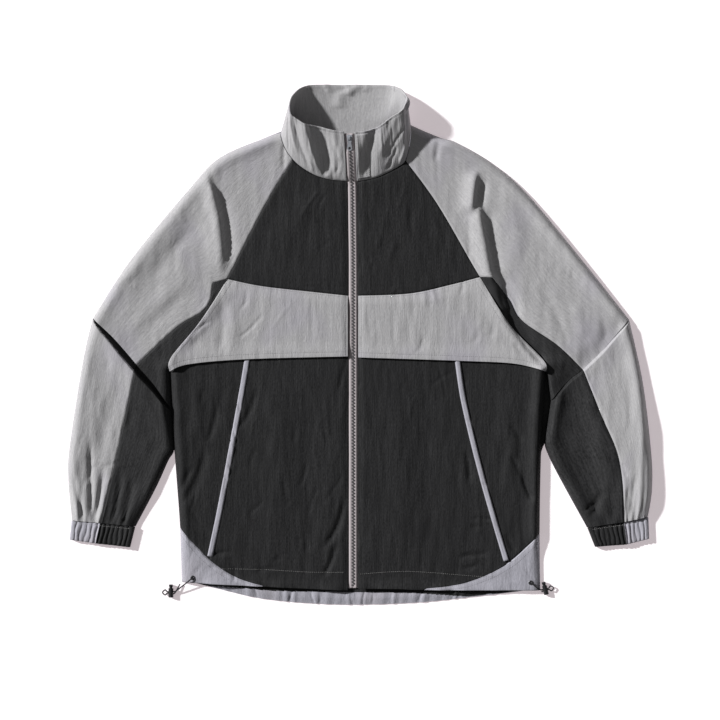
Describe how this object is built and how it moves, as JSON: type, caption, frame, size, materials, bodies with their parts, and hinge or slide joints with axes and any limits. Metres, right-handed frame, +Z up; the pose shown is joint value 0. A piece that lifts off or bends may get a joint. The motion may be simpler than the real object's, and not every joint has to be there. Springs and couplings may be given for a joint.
{
  "type": "windbreaker jacket",
  "caption": "Zip-up raglan windbreaker in crinkled nylon, laid flat: stand collar, storm flap, slanted pockets, gathered cuffs and a corded hem.",
  "frame": {"origin": "on the surface that the jacket lies on, under the back, in line with the zip and halfway up the garment", "axes": "+X towards the wearer's left arm, +Y from the hem to the collar, +Z up from the surface"},
  "size_m": [0.9071, 0.8066, 0.0484],
  "materials": {
    "grey_nylon": "matt",
    "black_nylon": "matt",
    "zip_tape": "matt",
    "zip_teeth": "satin",
    "slider_metal": "satin",
    "elastic_cord": "matt",
    "lock_plastic": "satin"
  },
  "bodies": {
    "jacket": {"back_body": "black_nylon", "back_hem": "grey_nylon", "back_sleeve_r": "grey_nylon", "back_sleeve_l": "grey_nylon", "chest_r": "black_nylon", "chest_l": "black_nylon", "flap_r": "grey_nylon", "flap_l": "grey_nylon", "side_front_r": "black_nylon", "side_front_l": "black_nylon", "front_r": "black_nylon", "front_l": "black_nylon", "corner_r": "grey_nylon", "corner_l": "grey_nylon", "welt_r": "grey_nylon", "welt_l": "grey_nylon", "sleeve_r": "grey_nylon", "sleeve_l": "grey_nylon", "under_sleeve_r": "black_nylon", "under_sleeve_l": "black_nylon", "cuff_grey_r": "grey_nylon", "cuff_grey_l": "grey_nylon", "cuff_black_r": "black_nylon", "cuff_black_l": "black_nylon", "collar": "grey_nylon", "collar_placket": "grey_nylon", "zip_tape_r": "zip_tape", "zip_tape_l": "zip_tape", "zip_chain": "zip_teeth", "zip_slider": "slider_metal", "eyelet_r": "slider_metal", "eyelet_l": "slider_metal", "cord_r": "elastic_cord", "cord_l": "elastic_cord", "lock_r": "lock_plastic", "lock_l": "lock_plastic"},
    "tab": {"pull_tab": "slider_metal"},
    "lock_button_r": {"button_r": "lock_plastic"},
    "lock_button_l": {"button_l": "lock_plastic"}
  },
  "joints": [
    {"name": "tab_hinge", "type": "hinge", "parent": "jacket", "child": "tab", "pos_m": [-0.00512, 0.31685, 0.03642], "axis": [-1, 0, 0], "range_deg": [0, 150]},
    {"name": "button_r_press", "type": "slide", "parent": "jacket", "child": "lock_button_r", "axis": [0, -1, 0], "range_m": [0, 0.0025], "stiffness_N_per_m": 400},
    {"name": "button_l_press", "type": "slide", "parent": "jacket", "child": "lock_button_l", "axis": [0.2377, -0.9713, 0], "range_m": [0, 0.0025], "stiffness_N_per_m": 400}
  ]
}
